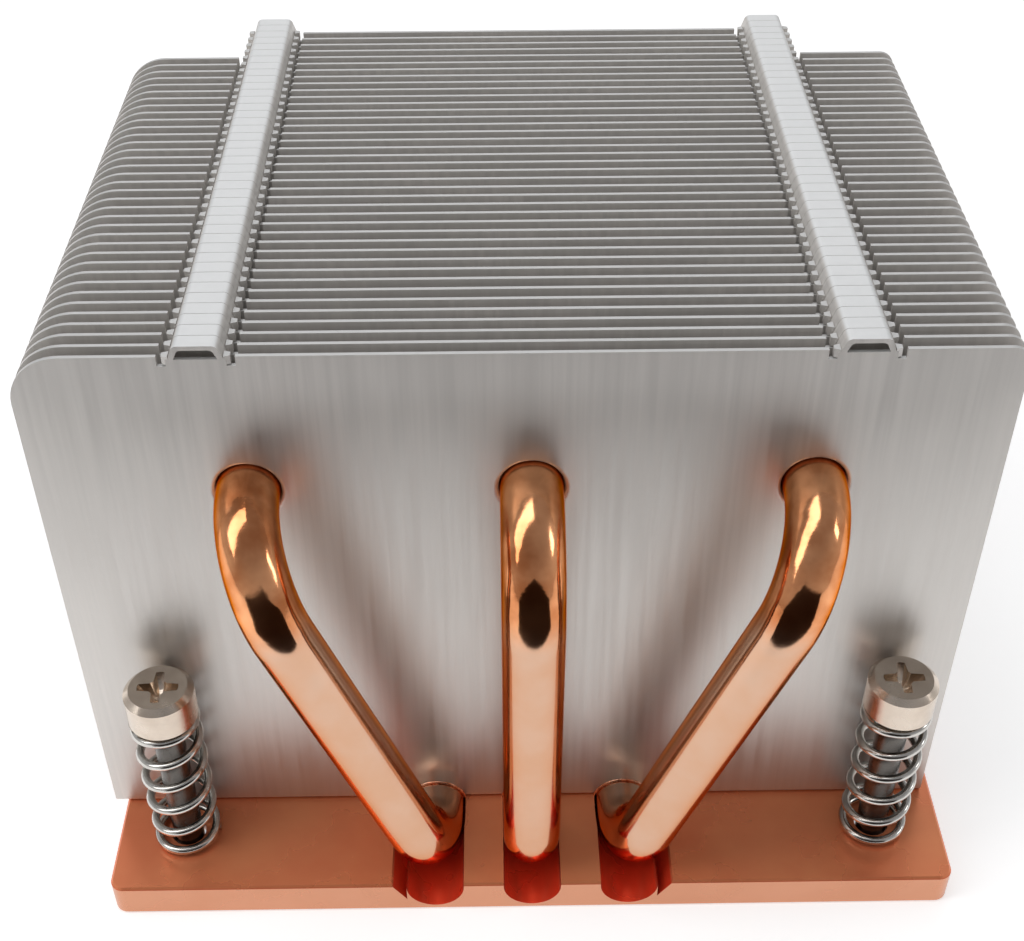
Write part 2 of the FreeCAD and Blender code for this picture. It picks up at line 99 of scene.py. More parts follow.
# ---------------------------------------------------------------- node trees
class ShaderTree:
    """A material's node tree with short ways to add and join nodes."""

    def __init__(self, name: str) -> None:
        """Starts an empty metal material.

        Args:
            name: the material's name.
        """
        self.material = bpy.data.materials.new(name)
        self.material.use_nodes = True
        self.tree = self.material.node_tree
        self.tree.nodes.clear()
        self.output = self.tree.nodes.new("ShaderNodeOutputMaterial")
        self.surface = self.tree.nodes.new("ShaderNodeBsdfPrincipled")
        self.surface.inputs["Metallic"].default_value = 1.0
        self.link(self.surface.outputs["BSDF"], self.output.inputs["Surface"])

    def link(self, source: bpy.types.NodeSocket, target: bpy.types.NodeSocket) -> None:
        """Joins one output socket to one input socket."""
        self.tree.links.new(source, target)

    def node(self, kind: str, **inputs: object) -> bpy.types.Node:
        """Adds a node and fills its inputs.

        Args:
            kind: the node's type name without its ShaderNode prefix.
            inputs: input names, with underscores for spaces, and a value or a socket for each.

        Returns:
            The new node.
        """
        made = self.tree.nodes.new("ShaderNode" + kind)
        for name, value in inputs.items():
            socket = made.inputs[name.replace("_", " ")]
            if isinstance(value, bpy.types.NodeSocket):
                self.link(value, socket)
            else:
                socket.default_value = value
        return made

    def object_points(self, stretch: Colour) -> bpy.types.NodeSocket:
        """Object coordinates in metres, scaled along each axis.

        Args:
            stretch: the scale along X, Y and Z.

        Returns:
            The vector socket of the scaled coordinates.
        """
        where = self.node("TexCoord")
        scaled = self.node("Mapping", Vector=where.outputs["Object"], Scale=stretch)
        return scaled.outputs["Vector"]

    def noise(
        self, points: bpy.types.NodeSocket, scale: float, detail: float = 3.0
    ) -> bpy.types.NodeSocket:
        """A soft random pattern over some points, from 0 to 1."""
        made = self.node("TexNoise", Vector=points, Scale=scale, Detail=detail)
        return made.outputs["Fac"]

    def spread(self, value: bpy.types.NodeSocket, low: float, high: float) -> bpy.types.NodeSocket:
        """Maps a pattern's middle half, 0.25 to 0.75, to a range of numbers.

        Args:
            value: the pattern's socket.
            low: the number at 0.25.
            high: the number at 0.75.

        Returns:
            The socket of the mapped number.
        """
        made = self.node("MapRange", Value=value)
        made.interpolation_type = "SMOOTHSTEP"
        made.inputs["From Min"].default_value = PATTERN_SPAN[0]
        made.inputs["From Max"].default_value = PATTERN_SPAN[1]
        made.inputs["To Min"].default_value = low
        made.inputs["To Max"].default_value = high
        return made.outputs["Result"]

    def ramp(self, value: bpy.types.NodeSocket, start: float, end: float) -> bpy.types.NodeSocket:
        """A share that goes smoothly from 0 at one value to 1 at another."""
        made = self.node("MapRange", Value=value)
        made.interpolation_type = "SMOOTHSTEP"
        made.inputs["From Min"].default_value = start
        made.inputs["From Max"].default_value = end
        return made.outputs["Result"]

    def height(self) -> bpy.types.NodeSocket:
        """Height above the foot of the cooler, in metres."""
        where = self.node("TexCoord")
        return self.node("SeparateXYZ", Vector=where.outputs["Object"]).outputs["Z"]

    def facing_up(self, start: float = 0.6, end: float = 0.95) -> bpy.types.NodeSocket:
        """How far a face looks upward, from 0 on walls to 1 on tops."""
        normal = self.node("NewGeometry").outputs["Normal"]
        upward = self.node("SeparateXYZ", Vector=normal).outputs["Z"]
        return self.ramp(upward, start, end)

    def product(
        self, first: bpy.types.NodeSocket, second: bpy.types.NodeSocket
    ) -> bpy.types.NodeSocket:
        """Two patterns multiplied."""
        made = self.node("Math")
        made.operation = "MULTIPLY"
        self.link(first, made.inputs[0])
        self.link(second, made.inputs[1])
        return made.outputs[0]

    def between(
        self, share: bpy.types.NodeSocket, first: float, second: float
    ) -> bpy.types.NodeSocket:
        """A number between two, by a share from 0 to 1."""
        made = self.node("MapRange", Value=share)
        made.inputs["To Min"].default_value = first
        made.inputs["To Max"].default_value = second
        return made.outputs["Result"]

    def blend(
        self, share: bpy.types.NodeSocket, first: Colour | bpy.types.NodeSocket,
        second: Colour | bpy.types.NodeSocket,
    ) -> bpy.types.NodeSocket:
        """A colour between two, by a pattern's share.

        Args:
            share: 0 gives the first colour and 1 the second.
            first: a colour, or the socket of one.
            second: a colour, or the socket of one.

        Returns:
            The colour's socket.
        """
        made = self.node("Mix")
        made.data_type = "RGBA"
        self.link(share, made.inputs["Factor"])
        ends = [socket for socket in made.inputs if socket.type == "RGBA"]
        for socket, colour in zip(ends, (first, second)):
            if isinstance(colour, bpy.types.NodeSocket):
                self.link(colour, socket)
            else:
                socket.default_value = (*colour, 1.0)
        return next(out for out in made.outputs if out.type == "RGBA")

    def bump(
        self, height: bpy.types.NodeSocket, depth: float, under: bpy.types.NodeSocket | None = None
    ) -> bpy.types.NodeSocket:
        """A bump of a given depth in metres, on top of another bump where one is given."""
        made = self.node("Bump", Height=height, Distance=depth)
        if under is not None:
            self.link(under, made.inputs["Normal"])
        return made.outputs["Normal"]


@dataclass(frozen=True)
class SheetFinish:
    """Mill-finished aluminium sheet with faint upright rolling lines and bright sheared edges."""

    name: str = "rolled_aluminium"
    light: Colour = (0.78, 0.75, 0.715)
    dark: Colour = (0.64, 0.615, 0.585)
    edge: Colour = (0.66, 0.66, 0.65)
    strip: Colour = (0.84, 0.85, 0.85)
    strip_heights: tuple[float, float] = (65.1 * MM, 65.4 * MM)
    rim_heights: tuple[float, float] = (57 * MM, 63 * MM)
    metal: tuple[float, float] = (0.85, 0.30)
    roughness: tuple[float, float] = (0.36, 0.46)
    line_scale: float = 1400.0
    line_detail: float = 4.0
    line_stretch: Colour = (1.0, 1.0, 0.03)
    line_share: tuple[float, float] = (0.2, 1.0)
    line_depth: float = 0.012 * MM
    cloud_scale: float = 60.0
    cloud_stretch: Colour = (1.0, 4.0, 0.5)
    cloud_share: tuple[float, float] = (0.3, 1.0)

    def build(self) -> bpy.types.Material:
        """Makes the material."""
        kit = ShaderTree(self.name)
        rim = kit.ramp(kit.height(), *self.rim_heights)
        kit.link(kit.between(rim, *self.metal), kit.surface.inputs["Metallic"])
        lines = kit.noise(kit.object_points(self.line_stretch), self.line_scale, self.line_detail)
        clouds = kit.noise(kit.object_points(self.cloud_stretch), self.cloud_scale)
        streaks = kit.product(
            kit.spread(clouds, *self.cloud_share), kit.spread(lines, *self.line_share)
        )
        sheet = kit.blend(streaks, self.dark, self.light)
        edge = kit.blend(kit.ramp(kit.height(), *self.strip_heights), self.edge, self.strip)
        toned = kit.blend(kit.facing_up(), sheet, edge)
        kit.link(toned, kit.surface.inputs["Base Color"])
        kit.link(kit.spread(lines, *self.roughness), kit.surface.inputs["Roughness"])
        kit.link(kit.bump(lines, self.line_depth), kit.surface.inputs["Normal"])
        return kit.material


@dataclass(frozen=True)
class TubeFinish:
    """Polished drawn copper, warm and slightly uneven from bending, with a painted reflection: the
    upper bends are painted redder and darker than the straight runs.
    """

    name: str = "polished_copper"
    light: Colour = (0.70, 0.46, 0.33)
    dark: Colour = (0.68, 0.41, 0.27)
    # Painted reflection colours for the upper bends, standing in for the dark surroundings that
    # they reflect.
    bend_painted_reflection_light: Colour = (0.95, 0.45, 0.22)
    bend_painted_reflection_dark: Colour = (0.56, 0.19, 0.07)
    rim: Colour = (0.95, 0.38, 0.16)
    roughness: tuple[float, float] = (0.09, 0.16)
    bend_heights: tuple[float, float] = (40 * MM, 44 * MM)
    cloud_scale: float = 260.0
    wave_scale: float = 300.0
    wave_depth: float = 0.12 * MM
    ripple_scale: float = 1100.0
    ripple_depth: float = 0.012 * MM
    grain_scale: float = 3000.0
    grain_depth: float = 0.002 * MM

    def build(self) -> bpy.types.Material:
        """Makes the material."""
        kit = ShaderTree(self.name)
        points = kit.object_points((1.0, 1.0, 1.0))
        clouds = kit.noise(points, self.cloud_scale)
        share = kit.spread(clouds, 0.0, 1.0)
        bent = kit.ramp(kit.height(), *self.bend_heights)
        straight_tone = kit.blend(share, self.dark, self.light)
        # Painted reflection: above the bend heights the copper is painted redder and darker.
        bend_painted_reflection = kit.blend(share, self.bend_painted_reflection_dark, self.bend_painted_reflection_light)
        kit.link(kit.blend(bent, straight_tone, bend_painted_reflection), kit.surface.inputs["Base Color"])
        kit.link(kit.spread(clouds, *self.roughness), kit.surface.inputs["Roughness"])
        kit.surface.inputs["Specular Tint"].default_value = (*self.rim, 1.0)
        swell = kit.noise(points, self.wave_scale, 1.0)
        waves = kit.node("Bump", Height=swell, Distance=self.wave_depth)
        kit.link(bent, waves.inputs["Strength"])
        ripples = kit.node(
            "Bump", Height=kit.noise(points, self.ripple_scale, 2.0),
            Distance=self.ripple_depth, Normal=waves.outputs["Normal"],
        )
        kit.link(bent, ripples.inputs["Strength"])
        specks = kit.noise(points, self.grain_scale, 2.0)
        grain = kit.bump(specks, self.grain_depth, ripples.outputs["Normal"])
        kit.link(grain, kit.surface.inputs["Normal"])
        return kit.material


@dataclass(frozen=True)
class PlateFinish:
    """Fly-cut copper plate with fine cutter lines and patches of light tarnish, and painted light:
    its tops get a painted deeper-red reflection and its groove floors a painted deep-red shade.
    """

    name: str = "milled_copper"
    light: Colour = (0.70, 0.34, 0.21)
    dark: Colour = (0.64, 0.29, 0.17)
    top_painted_reflection_light: Colour = (0.97, 0.34, 0.15)
    top_painted_reflection_dark: Colour = (0.88, 0.25, 0.11)
    groove_shade_and_reflection: Colour = (1.0, 0.08, 0.03)
    groove_heights: tuple[float, float] = (4.1 * MM, 3.8 * MM)
    top_facing: tuple[float, float] = (0.1, 0.4)
    metal: tuple[float, float] = (1.0, 0.45)
    roughness: tuple[float, float] = (0.22, 0.34)
    cloud_scale: float = 90.0
    cloud_detail: float = 4.0
    cut_pitch: float = 0.32 * MM
    cut_depth: float = 0.0015 * MM

    def build(self) -> bpy.types.Material:
        """Makes the material."""
        kit = ShaderTree(self.name)
        points = kit.object_points((1.0, 1.0, 1.0))
        clouds = kit.noise(points, self.cloud_scale, self.cloud_detail)
        share = kit.spread(clouds, 0.0, 1.0)
        walls = kit.blend(share, self.dark, self.light)
        # Painted reflection: upward faces are painted a deeper red than the walls, standing in for
        # the dark fin face that the top reflects.
        top = kit.blend(share, self.top_painted_reflection_dark, self.top_painted_reflection_light)
        upward = kit.facing_up(*self.top_facing)
        outside = kit.blend(upward, walls, top)
        # Painted shade with painted copper reflection: upward faces low in the grooves are painted
        # deep red.
        sunk = kit.product(upward, kit.ramp(kit.height(), *self.groove_heights))
        kit.link(kit.blend(sunk, outside, self.groove_shade_and_reflection), kit.surface.inputs["Base Color"])
        kit.link(kit.between(upward, *self.metal), kit.surface.inputs["Metallic"])
        kit.link(kit.spread(clouds, *self.roughness), kit.surface.inputs["Roughness"])
        wave_scale = FULL_TURN / (WAVE_UNITS_PER_SCALE * self.cut_pitch)
        cuts = kit.node("TexWave", Vector=points, Scale=wave_scale)
        cuts.bands_direction = "Y"
        kit.link(kit.bump(cuts.outputs["Fac"], self.cut_depth), kit.surface.inputs["Normal"])
        return kit.material


@dataclass(frozen=True)
class TurnedFinish:
    """Nickel-plated turned steel, with rings from the lathe that follow the piece's own radius,
    and painted shade: below the head it is painted almost black.
    """

    name: str = "nickel_plated_steel"
    light: Colour = (0.76, 0.66, 0.56)
    dark: Colour = (0.62, 0.52, 0.43)
    shank_painted_shade: Colour = (0.13, 0.12, 0.11)
    shank_shade_heights: tuple[float, float] = (23.0 * MM, 23.2 * MM)
    roughness: tuple[float, float] = (0.16, 0.30)
    cloud_scale: float = 420.0
    ring_pitch: float = 0.18 * MM
    ring_depth: float = 0.0025 * MM

    def build(self) -> bpy.types.Material:
        """Makes the material."""
        kit = ShaderTree(self.name)
        points = kit.object_points((1.0, 1.0, 1.0))
        clouds = kit.noise(points, self.cloud_scale)
        tone = kit.blend(kit.spread(clouds, 0.0, 1.0), self.dark, self.light)
        # Painted shade: below the shank heights the steel is painted almost black, for the shade
        # inside the spring.
        whole = kit.blend(kit.ramp(kit.height(), *self.shank_shade_heights), self.shank_painted_shade, tone)
        kit.link(whole, kit.surface.inputs["Base Color"])
        kit.link(kit.spread(clouds, *self.roughness), kit.surface.inputs["Roughness"])
        reach = kit.node("Attribute")
        reach.attribute_name = LATHE_REACH
        turns = kit.node("Math", Value=reach.outputs["Fac"])
        turns.operation = "MULTIPLY"
        turns.inputs[1].default_value = FULL_TURN / self.ring_pitch
        rings = kit.node("Math", Value=turns.outputs["Value"])
        rings.operation = "SINE"
        kit.link(kit.bump(rings.outputs["Value"], self.ring_depth), kit.surface.inputs["Normal"])
        return kit.material


@dataclass(frozen=True)
class WireFinish:
    """Drawn steel with a fine uneven grain, for springs and clips."""

    name: str
    light: Colour
    dark: Colour
    roughness: tuple[float, float]
    cloud_scale: float = 700.0
    grain_scale: float = 2600.0
    grain_depth: float = 0.004 * MM

    def build(self) -> bpy.types.Material:
        """Makes the material."""
        kit = ShaderTree(self.name)
        points = kit.object_points((1.0, 1.0, 1.0))
        clouds = kit.noise(points, self.cloud_scale)
        tone = kit.blend(kit.spread(clouds, 0.0, 1.0), self.dark, self.light)
        kit.link(tone, kit.surface.inputs["Base Color"])
        kit.link(kit.spread(clouds, *self.roughness), kit.surface.inputs["Roughness"])
        grain = kit.noise(points, self.grain_scale)
        kit.link(kit.bump(grain, self.grain_depth), kit.surface.inputs["Normal"])
        return kit.material


@dataclass(frozen=True)
class SolderFinish:
    """Reflowed solder with copper drawn up into it, dull in places."""

    name: str = "copper_stained_solder"
    light: Colour = (0.86, 0.50, 0.34)
    dark: Colour = (0.62, 0.26, 0.14)
    roughness: tuple[float, float] = (0.18, 0.38)
    lump_scale: float = 900.0
    lump_depth: float = 0.05 * MM

    def build(self) -> bpy.types.Material:
        """Makes the material."""
        kit = ShaderTree(self.name)
        points = kit.object_points((1.0, 1.0, 1.0))
        lumps = kit.noise(points, self.lump_scale)
        tone = kit.blend(kit.spread(lumps, 0.0, 1.0), self.dark, self.light)
        kit.link(tone, kit.surface.inputs["Base Color"])
        kit.link(kit.spread(lumps, *self.roughness), kit.surface.inputs["Roughness"])
        kit.link(kit.bump(lumps, self.lump_depth), kit.surface.inputs["Normal"])
        return kit.material


# ---------------------------------------------------------------- mesh work
def finish_piece(
    name: str, bm: bmesh.types.BMesh, material: bpy.types.Material, smooth_below: float
) -> bpy.types.Object:
    """Turns a bmesh into a scene object with clean normals and one finish.

    Args:
        name: the piece's name.
        bm: the mesh in the frame's place, which is freed here.
        material: the finish.
        smooth_below: edges that turn less than this many degrees are shaded smooth.

    Returns:
        The new object, at the origin.
    """
    bmesh.ops.remove_doubles(bm, verts=bm.verts, dist=MERGE_DISTANCE)
    bmesh.ops.recalc_face_normals(bm, faces=bm.faces)
    limit = math.radians(smooth_below)
    for face in bm.faces:
        face.smooth = True
    for edge in bm.edges:
        edge.smooth = len(edge.link_faces) == 2 and edge.calc_face_angle(0.0) < limit
    mesh = bpy.data.meshes.new(name)
    bm.to_mesh(mesh)
    bm.free()
    mesh.materials.append(material)
    piece = bpy.data.objects.new(name, mesh)
    bpy.context.scene.collection.objects.link(piece)
    return piece


def ring_edges(verts: list[bmesh.types.BMVert]) -> list[bmesh.types.BMEdge]:
    """The edges that join some vertices to each other."""
    chosen = set(verts)
    return list({e for v in verts for e in v.link_edges if e.other_vert(v) in chosen})


def dress(node_names: list[str], material: bpy.types.Material) -> None:
    """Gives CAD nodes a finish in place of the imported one."""
    for name in node_names:
        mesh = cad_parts[name].data
        mesh.materials.clear()
        mesh.materials.append(material)


class Sweep:
    """A round section that is pushed and turned along a route, as a bar is bent."""

    def __init__(self, radius: float, sides: int, start: Vector, heading: Vector) -> None:
        """Lays the first ring.

        Args:
            radius: the section's radius.
            sides: how many sides the section has.
            start: the ring's centre.
            heading: the direction in which the route sets off.
        """
        self.bm = bmesh.new()
        self.heading = heading.normalized()
        self.at = start.copy()
        turn = Vector((0.0, 0.0, 1.0)).rotation_difference(self.heading).to_matrix().to_4x4()
        made = bmesh.ops.create_circle(
            self.bm, segments=sides, radius=radius, matrix=Matrix.Translation(start) @ turn
        )
        self.ring = made["verts"]
        self.first_ring = list(self.ring)

    def push(self, distance: float, scale: float = 1.0) -> None:
        """Runs straight on, and widens or narrows the new ring.

        Args:
            distance: how far to go.
            scale: the new ring's size as a share of the last one.
        """
        made = bmesh.ops.extrude_edge_only(self.bm, edges=ring_edges(self.ring))
        self.ring = [item for item in made["geom"] if isinstance(item, bmesh.types.BMVert)]
        step = self.heading * distance
        bmesh.ops.translate(self.bm, verts=self.ring, vec=step)
        self.at += step
        if scale != 1.0:
            bmesh.ops.scale(
                self.bm, verts=self.ring, vec=(scale,) * 3, space=Matrix.Translation(-self.at)
            )

    def bend(self, toward: Vector, radius: float, steps: int) -> None:
        """Turns to a new heading on an arc.

        Args:
            toward: the heading after the bend.
            radius: the arc's radius at the section's centre.
            steps: how many rings the arc gets.
        """
        toward = toward.normalized()
        hinge = self.heading.cross(toward).normalized()
        centre = self.at + hinge.cross(self.heading) * radius
        angle = self.heading.angle(toward)
        made = bmesh.ops.spin(
            self.bm, geom=self.ring + ring_edges(self.ring), cent=centre, axis=hinge,
            angle=angle, steps=steps, use_merge=False, use_duplicate=False,
        )
        self.ring = [item for item in made["geom_last"] if isinstance(item, bmesh.types.BMVert)]
        self.at = centre + Matrix.Rotation(angle, 3, hinge) @ (self.at - centre)
        self.heading = toward

    def close(self, ring: list[bmesh.types.BMVert]) -> None:
        """Caps one open end with a flat face."""
        self.bm.faces.new(sorted_ring(ring))


def sorted_ring(ring: list[bmesh.types.BMVert]) -> list[bmesh.types.BMVert]:
    """Puts a closed ring's vertices in order round the ring.

    Args:
        ring: the vertices in any order.

    Returns:
        The same vertices, each next to its neighbours.
    """
    chosen = set(ring)
    ordered = [ring[0]]
    while len(ordered) < len(ring):
        here = ordered[-1]
        steps = [e.other_vert(here) for e in here.link_edges]
        ordered.append(next(v for v in steps if v in chosen and v not in ordered))
    return ordered


# ---------------------------------------------------------------- the cooler
@dataclass
class HeatPipes:
    """Three C-shaped copper pipes, drawn down and sealed at both ends."""

    finish: bpy.types.Material
    radius: float = 3.0 * MM
    foot_bend: float = 6.5 * MM
    top_bend: float = 9.5 * MM
    spacing_low: float = 10.35 * MM
    spacing_high: float = 26.4 * MM
    low_z: float = 3.75 * MM
    high_z: float = 49.6 * MM
    rake: float = 3.0
    face_gap: float = 0.185 * MM  # keeps the round bends inside the solids' own box
    end_setback: float = 3.0 * MM
    tip_length: float = 2.4 * MM
    tip_radius: float = 1.3 * MM
    nub_length: float = 0.8 * MM
    nub_edge: float = 0.3
    nub_edge_scale: float = 0.7
    sides: int = 72
    swage_steps: int = 8
    foot_steps: int = 28
    top_steps: int = 40
    smooth_below: float = 50.0

    def route(self, side: PipeSide) -> list[Vector]:
        """Corner points of one pipe, between the two swaged tips."""
        high_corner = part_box("heat_pipe_" + side.name.lower())[1]
        stack_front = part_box("fin_01")[0].y
        rake = math.radians(self.rake)
        top_y = stack_front - self.face_gap - self.top_bend * math.tan(math.pi / 4 + rake / 2)
        foot_y = top_y + (self.high_z - self.low_z) * math.tan(rake)
        tip = self.tip_length + self.nub_length
        low_x = side.value * self.spacing_low
        high_x = side.value * self.spacing_high
        base_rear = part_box("base_plate")[1].y
        return [
            Vector((low_x, base_rear - self.end_setback - tip, self.low_z)),
            Vector((low_x, foot_y, self.low_z)),
            Vector((high_x, top_y, self.high_z)),
            Vector((high_x, high_corner.y - tip, self.high_z)),
        ]

    def swage(self, sweep: Sweep) -> None:
        """Draws the open end down to its sealed nub."""
        radius = self.radius
        for step in range(1, self.swage_steps + 1):
            eased = (1 - math.cos(math.pi * step / self.swage_steps)) / 2
            wanted = self.radius + (self.tip_radius - self.radius) * eased
            sweep.push(self.tip_length / self.swage_steps, wanted / radius)
            radius = wanted
        sweep.push(self.nub_length * (1 - self.nub_edge))
        sweep.push(self.nub_length * self.nub_edge, self.nub_edge_scale)
        sweep.close(sweep.ring)

    def build(self) -> list[bpy.types.Object]:
        """Makes the three pipes in place of the frame's."""
        made = []
        for side in PipeSide:
            lower_end, foot, top, upper_end = self.route(side)
            sweep = Sweep(self.radius, self.sides, lower_end, foot - lower_end)
            riser = (top - foot).normalized()
            foot_setback = self.foot_bend * math.tan((foot - lower_end).angle(riser) / 2)
            top_setback = self.top_bend * math.tan(riser.angle(upper_end - top) / 2)
            sweep.push((foot - lower_end).length - foot_setback)
            sweep.bend(riser, self.foot_bend, self.foot_steps)
            sweep.push((top - foot).length - foot_setback - top_setback)
            sweep.bend(upper_end - top, self.top_bend, self.top_steps)
            sweep.push((upper_end - sweep.at).length)
            self.swage(sweep)
            sweep.heading = (lower_end - foot).normalized()
            sweep.at = lower_end.copy()
            sweep.ring = sweep.first_ring
            self.swage(sweep)
            name = "drawn_pipe_" + side.name.lower()
            piece = finish_piece(name, sweep.bm, self.finish, self.smooth_below)
            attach(piece, "cooler")
            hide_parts("heat_pipe_" + side.name.lower())
            made.append(piece)
        return made


@dataclass
class FinStack:
    """The folded sheets of the zipper stack, which keep their CAD form."""

    finish: bpy.types.Material

    def build(self) -> list[str]:
        """Dresses every fin and returns the nodes' names."""
        names = sorted(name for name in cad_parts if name.startswith("fin_"))
        dress(names, self.finish)
        return names


@dataclass
class BasePlate:
    """The copper base, which keeps its CAD form."""

    finish: bpy.types.Material

    def build(self) -> None:
        """Dresses the plate."""
        dress(["base_plate"], self.finish)


@dataclass
class BondLines:
    """Solder rings round the pipes at the foot of the stack."""

    solder: bpy.types.Material
    pipes: HeatPipes
    ring_radius: float = 3.12 * MM
    ring_wire: float = 0.17 * MM
    wire_sides: int = 10
    ring_steps: int = 56
    smooth_below: float = 60.0

    def ring(self, side: PipeSide, y: float, end: str) -> bpy.types.Object:
        """Makes one ring of solder.

        Args:
            side: the pipe that it goes round.
            y: the fin face that it lies on.
            end: a word for that face, for the piece's name.

        Returns:
            The ring.
        """
        centre = Vector((side.value * self.pipes.spacing_low, y, self.pipes.low_z))
        start = centre + Vector((self.ring_radius, 0.0, 0.0))
        sweep = Sweep(self.ring_wire, self.wire_sides, start, Vector((0.0, 0.0, 1.0)))
        bmesh.ops.spin(
            sweep.bm, geom=sweep.ring + ring_edges(sweep.ring), cent=centre, axis=(0.0, 1.0, 0.0),
            angle=FULL_TURN, steps=self.ring_steps, use_merge=True, use_duplicate=False,
        )
        name = f"solder_ring_{end}_{side.name.lower()}"
        piece = finish_piece(name, sweep.bm, self.solder, self.smooth_below)
        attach(piece, "cooler")
        return piece

    def build(self) -> list[bpy.types.Object]:
        """Makes the rings on both faces of the stack."""
        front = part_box("fin_01")[0].y
        rear = max(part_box(name)[1].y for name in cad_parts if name.startswith("fin_"))
        made = []
        for side in PipeSide:
            made.append(self.ring(side, front, "front"))
            made.append(self.ring(side, rear, "rear"))
        return made


@dataclass
class SprungScrew:
    """One captive screw with its coil spring and retaining clip."""

    corner: Corner
    screw_finish: bpy.types.Material
    spring_finish: bpy.types.Material
    clip_finish: bpy.types.Material
    head_radius: float = 3.55 * MM
    head_height: float = 4.1 * MM
    head_bevel: float = 0.6 * MM
    soft_edge: float = 0.12 * MM
    shank_radius: float = 1.6 * MM
    groove_radius: float = 1.15 * MM
    tip_bevel: float = 0.3 * MM
    collar_foot: float = 0.25 * MM
    collar_shoulder: float = 0.15 * MM
    thread_radius: float = 1.5 * MM
    thread_root: float = 1.22 * MM
    thread_pitch: float = 0.5 * MM
    thread_margin: float = 0.35 * MM
    thread_sink: float = 0.05 * MM
    thread_half: float = 0.42
    thread_steps: int = 36
    recess_span: float = 4.2 * MM
    recess_width: float = 1.1 * MM
    recess_depth: float = 1.7 * MM
    recess_corner: float = 1.45
    recess_corner_cut: float = 0.86
    recess_lobe: tuple[float, float] = (0.96, 0.8)
    recess_levels: tuple[tuple[float, float], ...] = ((0.35, 0.86), (0.8, 0.6), (1.0, 0.3))
    coil_radius: float = 3.15 * MM
    wire_radius: float = 0.45 * MM
    active_turns: float = 4.8
    closed_turns: float = 0.9
    closed_pitch: float = 1.9
    ground_share: float = 0.25
    wire_sides: int = 16
    coil_steps: int = 56
    groove_gap: float = 0.05 * MM
    travel: float = 5.0 * MM
    sides: int = 64
    screw_smooth_below: float = 30.0
    spring_smooth_below: float = 50.0

    def __post_init__(self) -> None:
        """Reads the screw's place and heights from the frame."""
        low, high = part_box("screw_" + self.corner.value)
        self.axis = Vector(((low.x + high.x) / 2, (low.y + high.y) / 2, 0.0))
        self.tip_z = low.z
        self.head_z = high.z
        clip_low, clip_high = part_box("clip_" + self.corner.value)
        self.clip_z = (clip_low.z - self.groove_gap, clip_high.z + self.groove_gap)
        self.seat_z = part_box("spring_" + self.corner.value)[0].z
        self.spring_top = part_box("spring_" + self.corner.value)[1].z

    def turned_body(self) -> bmesh.types.BMesh:
        """Spins the screw's outline, from the tip up to the rim of the head."""
        under_head = self.head_z - self.head_height
        clip_low, clip_high = self.clip_z
        soft = self.soft_edge
        profile = [
            (self.thread_root - self.tip_bevel, self.tip_z),
            (self.thread_root, self.tip_z + self.tip_bevel),
            (self.thread_root, clip_low - self.collar_foot),
            (self.thread_radius, clip_low - self.collar_shoulder),
            (self.thread_radius, clip_low),
            (self.groove_radius, clip_low),
            (self.groove_radius, clip_high),
            (self.shank_radius - soft, clip_high),
            (self.shank_radius, clip_high + soft),
            (self.shank_radius, under_head),
            (self.head_radius - soft, under_head),
            (self.head_radius, under_head + soft),
            (self.head_radius, self.head_z - self.head_bevel),
            (self.head_radius - self.head_bevel, self.head_z),
        ]
        bm = bmesh.new()
        verts = [bm.verts.new(self.axis + Vector((r, 0.0, z))) for r, z in profile]
        edges = [bm.edges.new(pair) for pair in zip(verts, verts[1:])]
        bmesh.ops.spin(
            bm, geom=verts + edges, cent=self.axis, axis=(0.0, 0.0, 1.0),
            angle=FULL_TURN, steps=self.sides, use_merge=True, use_duplicate=False,
        )
        return bm

    def boundary_at(self, bm: bmesh.types.BMesh, z: float) -> list[bmesh.types.BMEdge]:
        """The open edges at one height."""
        return [
            e for e in bm.edges
            if e.is_boundary and all(abs(v.co.z - z) < HEIGHT_MATCH for v in e.verts)
        ]

    def add_recess(self, bm: bmesh.types.BMesh) -> None:
        """Closes the head with a face that has a tapered cross in it."""
        half_span = self.recess_span / 2
        half_width = self.recess_width / 2
        inner = half_width * self.recess_corner
        cut = inner * self.recess_corner_cut
        lobe_x = half_span * self.recess_lobe[0]
        lobe_y = half_width * self.recess_lobe[1]
        outline = []
        for quarter in range(4):
            turn = Matrix.Rotation(quarter * math.pi / 2, 3, "Z")
            for point in (
                (lobe_x, -lobe_y), (half_span, 0.0), (lobe_x, lobe_y),
                (inner, half_width), (cut, cut), (half_width, inner),
            ):
                outline.append(turn @ Vector((*point, 0.0)))
        rim = self.boundary_at(bm, self.head_z)
        top = Vector((self.axis.x, self.axis.y, self.head_z))
        verts = [bm.verts.new(top + point) for point in outline]
        edges = [bm.edges.new(pair) for pair in zip(verts, verts[1:] + verts[:1])]
        bmesh.ops.triangle_fill(bm, edges=rim + edges, use_beauty=True)
        # Only the outline's own edges go down: the fill has joined its points by others.
        loop = edges
        for depth, share in self.recess_levels:
            made = bmesh.ops.extrude_edge_only(bm, edges=loop)
            ring = [item for item in made["geom"] if isinstance(item, bmesh.types.BMVert)]
            loop = ring_edges(ring)
            here = top - Vector((0.0, 0.0, self.recess_depth * depth))
            for vert in ring:
                flat = Vector((vert.co.x - top.x, vert.co.y - top.y, 0.0))
                vert.co = here + self.nearest(outline, flat) * share
        bm.faces.new(sorted_ring(ring))

    @staticmethod
    def nearest(points: list[Vector], flat: Vector) -> Vector:
        """The outline point whose direction is nearest to a flat vector's."""
        heading = flat.normalized()
        return max(points, key=lambda p: p.normalized().dot(heading) - abs(p.length - flat.length))

